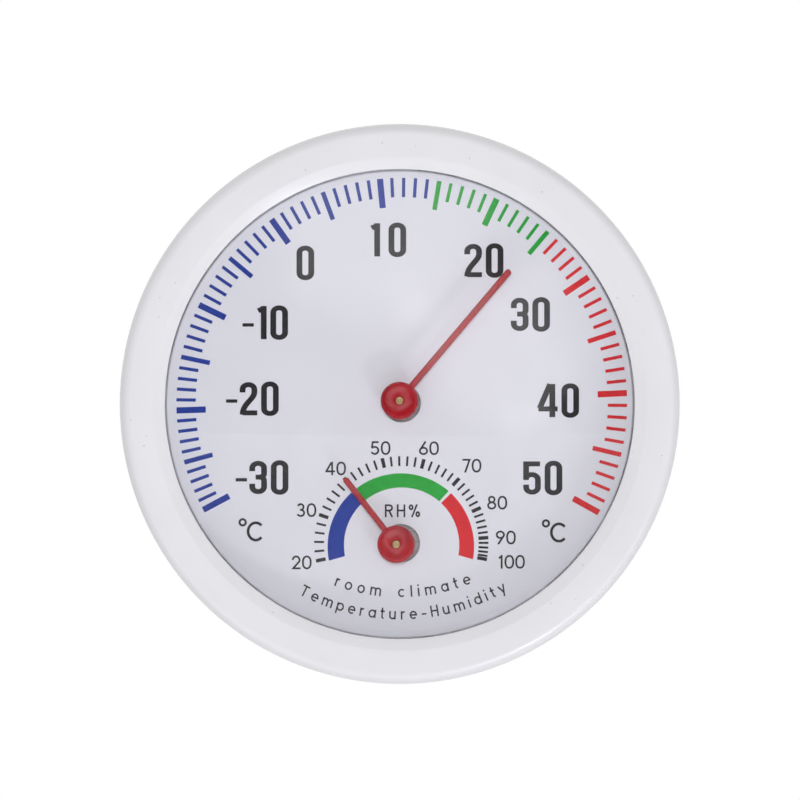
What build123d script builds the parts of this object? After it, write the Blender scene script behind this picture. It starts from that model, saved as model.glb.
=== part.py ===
from build123d import *
import math
import os

# A round wall dial with two movements in one white plastic case: a bimetal thermometer in the middle
# and below it a hygrometer, whose coil is a strip that winds and unwinds with the humidity.
# Everything is drawn lying on its back: x to the right, y up the dial and z from the wall towards
# the reader. The last step stands it up against the wall, so that the wall is the plane y = 0 and
# the dial looks along -y. All sizes are in millimetres.

# The whole dial: the bezel's diameter, and the depth from the wall to the top of the domed lens
CASE_DIAMETER = 73.0
TOTAL_DEPTH = 20.0

# Case ring
CASE_SIDE_TOP_RADIUS = 35.8
CASE_SIDE_FOOT_RADIUS = 34.6
CASE_EDGE_ROUND = 1.2
SEAM_HEIGHT = 6.4
SEAM_GAP = 0.2
SPIGOT_RADIUS = 33.95
SPIGOT_WALL = 1.6
SPIGOT_TOP = 13.0
CASE_INNER_RADIUS = 31.3

# Back cover
COVER_RADIUS = 31.2
COVER_THICKNESS = 2.8
COVER_RECESS_DEPTH = 1.0
COVER_RECESS_INNER_RADIUS = 6.0
COVER_RECESS_OUTER_RADIUS = 25.5
COVER_LEDGE_WIDTH = 1.1
COVER_LEDGE_THICKNESS = 1.2

# Bezel ring: a rounded shoulder, a front face that leans in a little, and a bevel down to the lens
BEZEL_FRONT = 16.7
BEZEL_LEAN = 0.25
BEZEL_CROWN = 0.12
BEZEL_ROUND_WIDTH = 1.46
BEZEL_ROUND_DEPTH = 2.4
BEZEL_ROUND_BULGE = 0.36
BEZEL_BEVEL_OUTER_RADIUS = 32.12
BEZEL_OPENING_RADIUS = 30.6
BEZEL_BEVEL_DEPTH = 0.75
BEZEL_SEAT = 14.9
BEZEL_EDGE_BREAK = 0.3
SNAP_HEIGHT = 9.5
SNAP_WIDTH = 0.8
SNAP_DEPTH = 0.2
SNAP_SLACK = 0.1

# Lens
LENS_THICKNESS = 1.6
LENS_DOME_RADIUS = 30.3
LENS_DOME_FOOT = 15.2
LENS_FLANGE_RADIUS = 33.7
LENS_SKIRT_INNER_RADIUS = 31.0

# Dial plate
DIAL_FRONT = 10.6
DIAL_THICKNESS = 0.6
DIAL_RADIUS = 32.2
DIAL_HOLE_RADIUS = 2.5
DIAL_NOTCH_WIDTH = 2.4
DIAL_NOTCH_DEPTH = 0.7
DIAL_KEY_HEIGHT = 0.5

# Where the two spindles stand, and where the dial's own holes are
THERMO_AXIS = (-0.04, 0.44)
HYGRO_AXIS = (-0.47, -18.20)
THERMO_SCALE_CENTRE = (0.26, 0.10)
HYGRO_SCALE_CENTRE = (0.14, -18.10)

# Pointers at rest: 24.5 degrees Celsius and 40 % relative humidity
THERMO_REST_ANGLE = 49.7
HYGRO_REST_ANGLE = 128.0
HUB_RADIUS = 2.45
HUB_THICKNESS = 1.5
HUB_EDGE_ROUND = 0.55
HUB_FRONT = 13.8
POINTER_THICKNESS = 0.7
POINTER_BELOW_HUB_FRONT = 0.35
POINTER_EDGE_BREAK = 0.2

# Movement parts shared by both movements
SHEET = 0.6
REAR_STRAP_BACK = 3.3
FRONT_STRAP_BACK = 8.0
STRAP_BEND_RADIUS = 0.5
SPINDLE_RADIUS = 0.5
RUNNING_CLEARANCE = 0.03
BUSH_RADIUS = 1.2
BUSH_FLANGE_RADIUS = 1.9
BUSH_FLANGE_THICKNESS = 0.3
FRONT_BUSH_TOP = 10.8
REAR_BUSH_STANDS_PROUD = 0.2
COLLAR_RADIUS = 1.6
COLLAR_END_PLAY = 0.15
TAIL_BEND_RADIUS = 0.4
TAIL_INNER_END = 0.75
COIL_INNER_RADIUS = 2.1
ANCHOR_TAIL = 1.9
ANCHOR_TAB_MARGIN = 0.6
SPINDLE_STANDS_PROUD = 0.15
SPINDLE_TIP_ROUND = 0.2
SPINDLE_FLOAT = 0.03
SCREW_RADIUS = 0.65
SCREW_LENGTH = 4.2
SCREW_HEAD_RADIUS = 1.45
SCREW_HEAD_HEIGHT = 0.9
SCREW_HEAD_ROUND = 0.4
SCREW_SLOT_WIDTH = 0.4
SCREW_SLOT_DEPTH = 0.4
SCREW_ANGLE = 35
RIVET_RADIUS = 0.45
RIVET_HEAD_RADIUS = 0.8
RIVET_HEAD_HEIGHT = 0.25

# Screws that hold the back cover on the case ring
COVER_SCREW_CIRCLE = 28.3
COVER_SCREW_ANGLES = [30, 150, 270]
COVER_SCREW_RADIUS = 0.8
COVER_SCREW_LENGTH = 6.3
COVER_SCREW_HEAD_RADIUS = 1.7
COVER_SCREW_HEAD_HEIGHT = 1.0
COVER_SCREW_HEAD_FOOT = 1.2
COVER_SCREW_HEAD_ROUND = 0.45
COVER_SCREW_CROSS = (2.0, 0.45, 0.45)
COVER_BOSS_RADIUS = 2.4
COVER_BOSS_TOP = 9.0

# Openings in the back
KEYHOLE_ENTRY_RADIUS = 3.6
KEYHOLE_SLOT_RADIUS = 1.9
KEYHOLE_ENTRY_Y = 17.2
KEYHOLE_SLOT_Y = 22.6
VENT_WIDTH = 1.5
THERMO_VENT_SPAN = (7.4, 12.4)
THERMO_VENT_ANGLES = [15, 45, 135, 165, 195, 225, 315, 345]
HYGRO_VENT_SPAN = (3.9, 6.4)
HYGRO_VENT_ANGLES = [22.5 + 45 * step for step in range(8)]
AIR_NOTCH_WIDTH = 8.0
AIR_NOTCH_ANGLES = [45, 135, 225, 315]
ADJUSTER_HOLE_RADIUS = 2.1

# The hygrometer's adjuster and its arm
ADJUSTER_HEAD_RADIUS = 1.8
ADJUSTER_HEAD_FOOT = 1.6
ADJUSTER_SLOT_WIDTH = 0.6
ADJUSTER_SLOT_DEPTH = 0.6
ARM_WIDTH = 3.4
ARM_EYE_RADIUS = 2.1
ARM_FOOT_LENGTH = 3.0

# The gap where two moulded or plated pieces sit together, the slack of a self-cutting screw, the
# room past a screw's tip and round its shank, and how far a moulded post or web runs into its wall
FIT_GAP = 0.05
THREAD_GAP = 0.02
TIP_ROOM = 0.3
SHANK_ROOM = 0.15
WELD = 0.2


class Movement:
    """The sizes in which the two movements differ, all measured from the spindle's axis."""

    def __init__(self, name, axis, hole_centre, coil_radius, turns, strip, strip_width, post_offset,
                 post_radius, strap_width, web_offset, pointer_length, pointer_width, rest_angle):
        self.name = name
        self.axis = axis
        self.hole_centre = hole_centre
        self.coil_radius = coil_radius
        self.turns = turns
        self.strip = strip
        self.strip_width = strip_width
        self.post_offset = post_offset
        self.post_radius = post_radius
        self.strap_width = strap_width
        self.web_offset = web_offset
        self.pointer_length = pointer_length
        self.pointer_width = pointer_width
        self.rest_angle = rest_angle

    def place(self, part):
        """A part drawn round the origin, moved to this movement's spindle."""
        return Pos(self.axis[0], self.axis[1], 0) * part

    def strip_middle(self):
        """The height at which the middle of the coil's strip lies."""
        return (REAR_STRAP_BACK + SHEET + FRONT_STRAP_BACK) / 2


THERMO = Movement(
    name="thermo", axis=THERMO_AXIS, hole_centre=THERMO_SCALE_CENTRE, coil_radius=8.9, turns=5,
    strip=0.25, strip_width=3.0, post_offset=13.0, post_radius=2.1, strap_width=6.4, web_offset=10.2,
    pointer_length=22.2, pointer_width=0.86, rest_angle=THERMO_REST_ANGLE)
HYGRO = Movement(
    name="hygro", axis=HYGRO_AXIS, hole_centre=HYGRO_SCALE_CENTRE, coil_radius=6.4, turns=4,
    strip=0.2, strip_width=2.4, post_offset=11.2, post_radius=2.0, strap_width=5.6, web_offset=8.2,
    pointer_length=10.9, pointer_width=0.81, rest_angle=HYGRO_REST_ANGLE)
MOVEMENTS = [THERMO, HYGRO]


def turned(outline):
    """A solid of revolution about z from an outline drawn as (radius, height)."""
    return revolve(Plane.XZ * make_face(outline), Axis.Z, 360)


def disc(radius, low, high):
    """A plain disc about z between two heights."""
    return Pos(0, 0, low) * Cylinder(radius, high - low, align=(Align.CENTER, Align.CENTER, Align.MIN))


def plate(outline, low, high):
    """A flat outline in x and y raised between two heights."""
    return Pos(0, 0, low) * extrude(outline, high - low)


def bar(x_low, x_high, width, low, high):
    """A rectangular bar along x, centred on y = 0."""
    size = (x_high - x_low, width, high - low)
    return Pos(x_low, 0, low) * Box(*size, align=(Align.MIN, Align.CENTER, Align.MIN))


def radial_slot(span, angle):
    """The outline of a round-ended slot that runs outwards from the origin at an angle."""
    length = span[1] - span[0] + VENT_WIDTH
    return Rot(0, 0, angle) * Pos((span[0] + span[1]) / 2, 0) * SlotOverall(length, VENT_WIDTH)


# ------------------------------------------------------------------ case

def bezel_ring():
    """White front ring: a skirt that snaps over the case and a lip with a bevel round the lens."""
    outer = CASE_DIAMETER / 2
    shoulder = outer - BEZEL_ROUND_WIDTH
    foot = SEAM_HEIGHT + SEAM_GAP
    edge = foot + BEZEL_EDGE_BREAK
    inner = SPIGOT_RADIUS + FIT_GAP
    groove = inner + SNAP_DEPTH + SNAP_SLACK
    round_start = (outer, BEZEL_FRONT - BEZEL_ROUND_DEPTH)
    round_middle = (outer - BEZEL_ROUND_BULGE * BEZEL_ROUND_WIDTH,
                    BEZEL_FRONT - BEZEL_ROUND_BULGE * BEZEL_ROUND_DEPTH)
    bevel_top = (BEZEL_BEVEL_OUTER_RADIUS, BEZEL_FRONT - BEZEL_LEAN)
    crown = ((shoulder + BEZEL_BEVEL_OUTER_RADIUS) / 2, BEZEL_FRONT - BEZEL_LEAN / 2 + BEZEL_CROWN)
    bevel_foot = (BEZEL_OPENING_RADIUS, BEZEL_FRONT - BEZEL_LEAN - BEZEL_BEVEL_DEPTH)
    outline = [
        Polyline((inner, edge), (inner + BEZEL_EDGE_BREAK, foot), (outer - BEZEL_EDGE_BREAK, foot),
                 (outer, edge), round_start),
        ThreePointArc(round_start, round_middle, (shoulder, BEZEL_FRONT)),
        ThreePointArc((shoulder, BEZEL_FRONT), crown, bevel_top),
        Polyline(bevel_top, bevel_foot, (BEZEL_OPENING_RADIUS, BEZEL_SEAT), (inner, BEZEL_SEAT),
                 (inner, SNAP_HEIGHT + SNAP_WIDTH), (groove, SNAP_HEIGHT + SNAP_WIDTH / 2),
                 (groove, SNAP_HEIGHT - SNAP_WIDTH / 2), (inner, SNAP_HEIGHT - SNAP_WIDTH),
                 (inner, edge)),
    ]
    return turned(outline)


def lens():
    """Clear domed cover: a shallow spherical cap, a flange under the lip and a skirt on the dial."""
    top = TOTAL_DEPTH
    inner_top = top - LENS_THICKNESS
    rise = top - LENS_DOME_FOOT
    ball = (LENS_DOME_RADIUS ** 2 + rise ** 2) / (2 * rise)
    ball_centre = top - ball
    inner_ball = ball - LENS_THICKNESS
    half = LENS_DOME_RADIUS / 2
    inner_half = LENS_SKIRT_INNER_RADIUS / 2
    inner_foot = ball_centre + math.sqrt(inner_ball ** 2 - LENS_SKIRT_INNER_RADIUS ** 2)
    outer_arc = ThreePointArc((0, top), (half, ball_centre + math.sqrt(ball ** 2 - half ** 2)),
                              (LENS_DOME_RADIUS, LENS_DOME_FOOT))
    inner_arc = ThreePointArc((LENS_SKIRT_INNER_RADIUS, inner_foot),
                              (inner_half, ball_centre + math.sqrt(inner_ball ** 2 - inner_half ** 2)),
                              (0, inner_top))
    skirt_radius = SPIGOT_RADIUS - SPIGOT_WALL - FIT_GAP
    flange_top = BEZEL_SEAT - FIT_GAP
    flange_foot = SPIGOT_TOP + FIT_GAP
    rim = Polyline((LENS_DOME_RADIUS, LENS_DOME_FOOT), (LENS_DOME_RADIUS, flange_top),
                   (LENS_FLANGE_RADIUS, flange_top), (LENS_FLANGE_RADIUS, flange_foot),
                   (skirt_radius, flange_foot), (skirt_radius, DIAL_FRONT),
                   (LENS_SKIRT_INNER_RADIUS, DIAL_FRONT), (LENS_SKIRT_INNER_RADIUS, inner_foot))
    return turned([outer_arc, rim, inner_arc, Line((0, inner_top), (0, top))])


def dial_plate():
    """White coated disc with a clearance hole for each spindle and a locating notch at the bottom."""
    outline = Circle(DIAL_RADIUS)
    for movement in MOVEMENTS:
        outline -= Pos(*movement.hole_centre) * Circle(DIAL_HOLE_RADIUS)
    outline -= Pos(0, -DIAL_RADIUS) * Rectangle(DIAL_NOTCH_WIDTH, 2 * DIAL_NOTCH_DEPTH)
    return plate(outline, DIAL_FRONT - DIAL_THICKNESS, DIAL_FRONT)


def case_ring():
    """White side wall: a shoulder for the bezel, ledges for the dial and the cover, screw bosses."""
    ring = case_wall() + dial_key()
    for angle in COVER_SCREW_ANGLES:
        ring += Rot(0, 0, angle) * cover_boss()
    for cut in air_notches():
        ring -= cut
    return ring


def case_wall():
    """The turned part of the case ring."""
    edge_start = CASE_SIDE_FOOT_RADIUS - CASE_EDGE_ROUND
    cut_back = CASE_EDGE_ROUND * (1 - math.sin(math.pi / 4))
    corner = (CASE_SIDE_FOOT_RADIUS - cut_back, cut_back)
    ledge = DIAL_FRONT - DIAL_THICKNESS
    spigot_inner = SPIGOT_RADIUS - SPIGOT_WALL
    bead = SPIGOT_RADIUS + SNAP_DEPTH
    mouth = COVER_RADIUS + FIT_GAP
    cover_ledge = COVER_RADIUS - COVER_LEDGE_WIDTH
    cover_ledge_top = COVER_THICKNESS + COVER_LEDGE_THICKNESS
    outline = [
        Line((mouth, 0), (edge_start, 0)),
        ThreePointArc((edge_start, 0), corner, (CASE_SIDE_FOOT_RADIUS, CASE_EDGE_ROUND)),
        Polyline((CASE_SIDE_FOOT_RADIUS, CASE_EDGE_ROUND), (CASE_SIDE_TOP_RADIUS, SEAM_HEIGHT),
                 (SPIGOT_RADIUS, SEAM_HEIGHT),
                 (SPIGOT_RADIUS, SNAP_HEIGHT - SNAP_WIDTH / 2), (bead, SNAP_HEIGHT),
                 (SPIGOT_RADIUS, SNAP_HEIGHT + SNAP_WIDTH / 2), (SPIGOT_RADIUS, SPIGOT_TOP),
                 (spigot_inner, SPIGOT_TOP), (spigot_inner, ledge), (CASE_INNER_RADIUS, ledge),
                 (CASE_INNER_RADIUS, cover_ledge_top), (cover_ledge, cover_ledge_top),
                 (cover_ledge, COVER_THICKNESS), (mouth, COVER_THICKNESS), (mouth, 0)),
    ]
    return turned(outline)


def cover_boss():
    """A boss on the inside of the case wall with a pilot hole for a cover screw, drawn along +x."""
    reach = CASE_INNER_RADIUS + WELD
    boss = disc(COVER_BOSS_RADIUS, COVER_THICKNESS, COVER_BOSS_TOP)
    web = bar(0, reach - COVER_SCREW_CIRCLE, 2 * COVER_BOSS_RADIUS, COVER_THICKNESS, COVER_BOSS_TOP)
    tip = COVER_SCREW_HEAD_FOOT + COVER_SCREW_LENGTH + TIP_ROOM
    pilot = disc(COVER_SCREW_RADIUS + THREAD_GAP, 0, tip)
    return Pos(COVER_SCREW_CIRCLE, 0, 0) * (boss + web - pilot)


def dial_key():
    """The lug on the dial ledge that the dial's notch drops over."""
    ledge = DIAL_FRONT - DIAL_THICKNESS
    foot = SPIGOT_RADIUS - SPIGOT_WALL + WELD
    reach = foot - DIAL_RADIUS + DIAL_KEY_HEIGHT
    size = (DIAL_NOTCH_WIDTH - 4 * FIT_GAP, reach, DIAL_THICKNESS)
    return Pos(0, -foot, ledge) * Box(*size, align=(Align.CENTER, Align.MIN, Align.MIN))


def air_notches():
    """The four shallow channels across the back's rim that let air in when the dial hangs."""
    notches = []
    for angle in AIR_NOTCH_ANGLES:
        notch = bar(COVER_RECESS_OUTER_RADIUS - WELD, CASE_DIAMETER / 2, AIR_NOTCH_WIDTH, -1,
                    COVER_RECESS_DEPTH)
        notches.append(Rot(0, 0, angle) * notch)
    return notches


def back_cover():
    """White vented disc that closes the back: keyhole, adjuster hole and the movements' posts."""
    recess = Circle(COVER_RECESS_OUTER_RADIUS) - Circle(COVER_RECESS_INNER_RADIUS)
    cover = disc(COVER_RADIUS, 0, COVER_THICKNESS) - plate(recess, -1, COVER_RECESS_DEPTH)
    for cut in air_notches():
        cover -= cut
    for outline in [vents(), keyhole_outline(), adjuster_hole()]:
        cover -= plate(outline, -1, COVER_THICKNESS + 1)
    for angle in COVER_SCREW_ANGLES:
        cover -= Rot(0, 0, angle) * Pos(COVER_SCREW_CIRCLE, 0, 0) * cover_screw_hole()
    for movement in MOVEMENTS:
        for side in (-1, 1):
            cover += screw_post(movement, side)
    return cover


def cover_screw_hole():
    """A stepped hole for a cover screw: a counterbore for the head and a clearance hole."""
    counterbore = disc(COVER_SCREW_HEAD_RADIUS + 2 * SHANK_ROOM, -1, COVER_SCREW_HEAD_FOOT)
    return counterbore + disc(COVER_SCREW_RADIUS + SHANK_ROOM, -1, COVER_THICKNESS + 1)


def vents():
    """Two rosettes of radial slots, one over each coil."""
    rosettes = [THERMO.place(radial_slot(THERMO_VENT_SPAN, angle)) for angle in THERMO_VENT_ANGLES]
    rosettes += [HYGRO.place(radial_slot(HYGRO_VENT_SPAN, angle)) for angle in HYGRO_VENT_ANGLES]
    return Sketch() + rosettes


def adjuster_hole():
    """The hole in front of which the hygrometer's slotted adjuster sits."""
    return HYGRO.place(Circle(ADJUSTER_HOLE_RADIUS))


def keyhole_outline():
    """A round entry for a screw head with a narrower slot above it."""
    rise = KEYHOLE_SLOT_Y - KEYHOLE_ENTRY_Y
    neck = Pos(0, KEYHOLE_ENTRY_Y + rise / 2) * Rectangle(2 * KEYHOLE_SLOT_RADIUS, rise)
    entry = Pos(0, KEYHOLE_ENTRY_Y) * Circle(KEYHOLE_ENTRY_RADIUS)
    return entry + neck + Pos(0, KEYHOLE_SLOT_Y) * Circle(KEYHOLE_SLOT_RADIUS)


def screw_post(movement, side):
    """A moulded post with a pilot hole, under one ear of a movement's bracket."""
    post = disc(movement.post_radius, COVER_THICKNESS - WELD, FRONT_STRAP_BACK)
    tip = FRONT_STRAP_BACK - SCREW_LENGTH - TIP_ROOM
    pilot = disc(SCREW_RADIUS + THREAD_GAP, tip, FRONT_STRAP_BACK + 1)
    return movement.place(Pos(side * movement.post_offset, 0, 0) * (post - pilot))


def cover_screws():
    """The three cross-slotted screws that hold the back cover, as one group."""
    head_low = COVER_SCREW_HEAD_FOOT - COVER_SCREW_HEAD_HEIGHT
    head = disc(COVER_SCREW_HEAD_RADIUS, head_low, COVER_SCREW_HEAD_FOOT)
    head = fillet(head.edges().sort_by(Axis.Z)[0], COVER_SCREW_HEAD_ROUND)
    length, width, depth = COVER_SCREW_CROSS
    for turn in (0, 90):
        head -= Pos(0, 0, head_low) * Rot(0, 0, turn) * Box(length, width, 2 * depth)
    tip = COVER_SCREW_HEAD_FOOT + COVER_SCREW_LENGTH
    screw = head + disc(COVER_SCREW_RADIUS, COVER_SCREW_HEAD_FOOT, tip)
    group = Part()
    for angle in COVER_SCREW_ANGLES:
        group += Rot(0, 0, angle) * Pos(COVER_SCREW_CIRCLE, 0, 0) * Rot(0, 0, 2 * angle) * screw
    return group


# ------------------------------------------------------------------ movements

def strap_outline(movement):
    """The front strap's outline: a bar with round ears over the two posts."""
    ears = 2 * movement.post_offset + movement.strap_width
    return SlotOverall(ears, movement.strap_width)


def bracket(movement, rear_hole_radius, with_anchor):
    """Bent sheet frame: a front strap on the posts, a web down one side and a rear strap."""
    front_top = FRONT_STRAP_BACK + SHEET
    width = movement.strap_width
    outline = strap_outline(movement) - Circle(BUSH_RADIUS)
    for side in (-1, 1):
        outline -= Pos(side * movement.post_offset, 0) * Circle(SCREW_RADIUS + SHANK_ROOM)
    frame = plate(outline, FRONT_STRAP_BACK, front_top)
    web_outer = movement.web_offset + SHEET
    web = bar(movement.web_offset, web_outer, width, REAR_STRAP_BACK, front_top)
    rear = Circle(width / 2) + Pos(web_outer / 2, 0) * Rectangle(web_outer, width)
    rear -= Circle(rear_hole_radius)
    frame += web + plate(rear, REAR_STRAP_BACK, REAR_STRAP_BACK + SHEET)
    bend = frame.edges().filter_by(Axis.Y).filter_by_position(Axis.X, web_outer - 0.01, web_outer + 0.01)
    frame = fillet(bend.sort_by(Axis.Z)[0], STRAP_BEND_RADIUS)
    if with_anchor:
        frame += anchor_tab(movement, FRONT_STRAP_BACK)
    return movement.place(frame)


def anchor_tab(movement, root):
    """The bent tab that holds the coil's outer end, up to the strap or arm at height root."""
    face = movement.coil_radius + movement.strip / 2
    middle = movement.strip_middle()
    reach = movement.strip_width / 2 + WELD
    low = min(root, middle - reach)
    high = max(root, middle + reach)
    length = ANCHOR_TAIL + 2 * ANCHOR_TAB_MARGIN
    tab = Pos(0, -TAIL_BEND_RADIUS - ANCHOR_TAIL / 2, 0) * bar(-face - SHEET, -face, length, low, high)
    return tab - rivet_bore(movement)


def rivet_bore(movement):
    """The hole for the rivet through the anchor tab and the coil's tail."""
    bore = Rot(0, 90, 0) * Cylinder(RIVET_RADIUS, 4 * SHEET)
    return Pos(-movement.coil_radius, -TAIL_BEND_RADIUS - ANCHOR_TAIL / 2, movement.strip_middle()) * bore


def coil_path(movement):
    """The coil's centre line: a radial tail, a small bend, half circles that grow, a straight tail."""
    inner_tail = Line((-TAIL_INNER_END, 0), (-COIL_INNER_RADIUS + TAIL_BEND_RADIUS, 0))
    path = [inner_tail]
    level = -TAIL_BEND_RADIUS
    bend = (-COIL_INNER_RADIUS + TAIL_BEND_RADIUS * (1 - math.sin(math.pi / 4)),
            level + TAIL_BEND_RADIUS * math.cos(math.pi / 4))
    start = (-COIL_INNER_RADIUS, level)
    path.append(ThreePointArc(inner_tail @ 1, bend, start))
    growth = (movement.coil_radius - COIL_INNER_RADIUS) / (2 * movement.turns)
    x = -COIL_INNER_RADIUS
    for half_turn in range(2 * movement.turns):
        turn = -1 if half_turn % 2 == 0 else 1
        reach = COIL_INNER_RADIUS + growth * (half_turn + 1)
        x_next = -turn * reach
        radius = abs(x_next - x) / 2
        middle = ((x + x_next) / 2, level + turn * radius)
        path.append(ThreePointArc((x, level), middle, (x_next, level)))
        x = x_next
    path.append(Line((x, level), (x, level - ANCHOR_TAIL)))
    return path


def coil(movement):
    """Spiral strip from the collar to the anchor, in one length with its two tails."""
    band = trace(coil_path(movement), movement.strip)
    low = movement.strip_middle() - movement.strip_width / 2
    strip = plate(band, low, low + movement.strip_width)
    return movement.place(strip - rivet_bore(movement))


def coil_rivet(movement):
    """Rivet with two flat heads, through the anchor tab and the coil's outer tail."""
    inner_face = -movement.coil_radius + movement.strip / 2
    outer_face = -movement.coil_radius - movement.strip / 2 - SHEET
    length = inner_face - outer_face
    shank = Cylinder(RIVET_RADIUS, length + 2 * RIVET_HEAD_HEIGHT)
    heads = [Pos(0, 0, side * (length + RIVET_HEAD_HEIGHT) / 2)
             * Cylinder(RIVET_HEAD_RADIUS, RIVET_HEAD_HEIGHT) for side in (-1, 1)]
    rivet = Rot(0, 90, 0) * (shank + heads[0] + heads[1])
    where = Pos((inner_face + outer_face) / 2, -TAIL_BEND_RADIUS - ANCHOR_TAIL / 2,
                movement.strip_middle())
    return movement.place(where * rivet)


def front_bush(movement):
    """Brass bearing pressed into the front strap, flange inside, barrel up through the dial."""
    bush = disc(BUSH_RADIUS, FRONT_STRAP_BACK - BUSH_FLANGE_THICKNESS, FRONT_BUSH_TOP)
    bush += disc(BUSH_FLANGE_RADIUS, FRONT_STRAP_BACK - BUSH_FLANGE_THICKNESS, FRONT_STRAP_BACK)
    return movement.place(bush - disc(SPINDLE_RADIUS + RUNNING_CLEARANCE, 0, FRONT_BUSH_TOP + 1))


def collar_foot(movement):
    """The height of the collar's rear end, just clear of what bears the spindle there."""
    return rear_bearing_top(movement) + COLLAR_END_PLAY


def rear_bearing_top(movement):
    """The height at which the rear bearing ends inside the movement."""
    strap_top = REAR_STRAP_BACK + SHEET
    if movement is HYGRO:
        return strap_top + FIT_GAP + SHEET
    return strap_top + REAR_BUSH_STANDS_PROUD


def blind_bore(movement):
    """The running bore that the spindle's rear end turns in, closed towards the wall."""
    foot = spindle_foot() - SPINDLE_FLOAT
    return disc(SPINDLE_RADIUS + RUNNING_CLEARANCE, foot, rear_bearing_top(movement) + 1)


def spindle_foot():
    """The height of the spindle's rear end."""
    return REAR_STRAP_BACK - 2 * FIT_GAP


def thermo_rear_bush():
    """Brass bearing pressed into the rear strap of the thermometer, closed at the back."""
    bush = disc(BUSH_RADIUS, REAR_STRAP_BACK - BUSH_FLANGE_THICKNESS, rear_bearing_top(THERMO))
    bush += disc(BUSH_FLANGE_RADIUS, REAR_STRAP_BACK - BUSH_FLANGE_THICKNESS, REAR_STRAP_BACK)
    return THERMO.place(bush - blind_bore(THERMO))


def hygro_adjuster():
    """Brass bush with a slotted head: it bears the spindle and sets the hygrometer's zero."""
    head_low = ADJUSTER_HEAD_FOOT
    head_high = REAR_STRAP_BACK - FIT_GAP
    head = disc(ADJUSTER_HEAD_RADIUS, head_low, head_high)
    head -= Pos(0, 0, head_low) * Box(2 * ADJUSTER_HOLE_RADIUS, ADJUSTER_SLOT_WIDTH,
                                      2 * ADJUSTER_SLOT_DEPTH)
    barrel = disc(BUSH_RADIUS, head_high, rear_bearing_top(HYGRO))
    return HYGRO.place(head + barrel - blind_bore(HYGRO))


def hygro_adjuster_arm():
    """Bent lever pressed on the adjuster: its tab carries the coil's outer end."""
    top = rear_bearing_top(HYGRO)
    reach = HYGRO.coil_radius + HYGRO.strip / 2 + SHEET
    drop = -TAIL_BEND_RADIUS - ANCHOR_TAIL / 2
    foot_width = ANCHOR_TAIL + 2 * ANCHOR_TAB_MARGIN
    lever = Pos(-reach / 2, drop / 2) * Rectangle(reach, ARM_WIDTH)
    lever += Circle(ARM_EYE_RADIUS)
    lever += Pos(-reach + ARM_FOOT_LENGTH / 2, drop) * Rectangle(ARM_FOOT_LENGTH, foot_width)
    lever -= Circle(BUSH_RADIUS)
    arm = plate(lever, top - SHEET, top)
    return HYGRO.place(arm + anchor_tab(HYGRO, top - SHEET))


def spindle(movement):
    """Brass pin from the rear bearing through the dial to the pointer's hub, rounded in front."""
    pin = disc(SPINDLE_RADIUS, spindle_foot(), HUB_FRONT + SPINDLE_STANDS_PROUD)
    pin = fillet(pin.edges().sort_by(Axis.Z)[-1], SPINDLE_TIP_ROUND)
    return movement.place(pin)


def collar(movement):
    """Brass collar pressed on the spindle, with a saw cut for the coil's inner tail."""
    low = collar_foot(movement)
    high = FRONT_STRAP_BACK - BUSH_FLANGE_THICKNESS - COLLAR_END_PLAY
    body = disc(COLLAR_RADIUS, low, high) - disc(SPINDLE_RADIUS, low - 1, high + 1)
    cut_width = movement.strip + 2 * RUNNING_CLEARANCE
    cut = bar(-COLLAR_RADIUS - 1, -TAIL_INNER_END + RUNNING_CLEARANCE, cut_width, low - 1, high + 1)
    return movement.place(body - cut)


def screws(movement):
    """The two slotted screws that hold a bracket to its posts, as one group."""
    shank_foot = FRONT_STRAP_BACK - SCREW_LENGTH
    head_foot = FRONT_STRAP_BACK + SHEET
    head_top = head_foot + SCREW_HEAD_HEIGHT
    past_rim = SCREW_HEAD_RADIUS + 1
    head = disc(SCREW_HEAD_RADIUS, head_foot, head_top)
    head = fillet(head.edges().sort_by(Axis.Z)[-1], SCREW_HEAD_ROUND)
    screw = disc(SCREW_RADIUS, shank_foot, head_foot) + head
    screw -= Pos(0, 0, head_top) * Box(2 * past_rim, SCREW_SLOT_WIDTH, 2 * SCREW_SLOT_DEPTH)
    left, right = [Pos(side * movement.post_offset, 0, 0) * Rot(0, 0, SCREW_ANGLE * side) * screw
                   for side in (-1, 1)]
    return movement.place(left + right)


def pointer(movement):
    """Red moulded pointer: a round hub pressed on the spindle and a slim needle."""
    hub = disc(HUB_RADIUS, HUB_FRONT - HUB_THICKNESS, HUB_FRONT)
    hub = fillet(hub.edges().sort_by(Axis.Z)[-1], HUB_EDGE_ROUND)
    top = HUB_FRONT - POINTER_BELOW_HUB_FRONT
    length = movement.pointer_length
    width = movement.pointer_width
    outline = Pos(length / 2 - width / 4, 0) * Rectangle(length - width / 2, width)
    outline += Pos(length - width / 2, 0) * Circle(width / 2)
    needle = plate(outline, top - POINTER_THICKNESS, top)
    needle = chamfer(needle.faces().sort_by(Axis.Z)[-1].outer_wire().edges(), POINTER_EDGE_BREAK)
    body = hub + needle - disc(SPINDLE_RADIUS, 0, TOTAL_DEPTH)
    return movement.place(Rot(0, 0, movement.rest_angle) * body)


# ------------------------------------------------------------------ assembly

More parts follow.
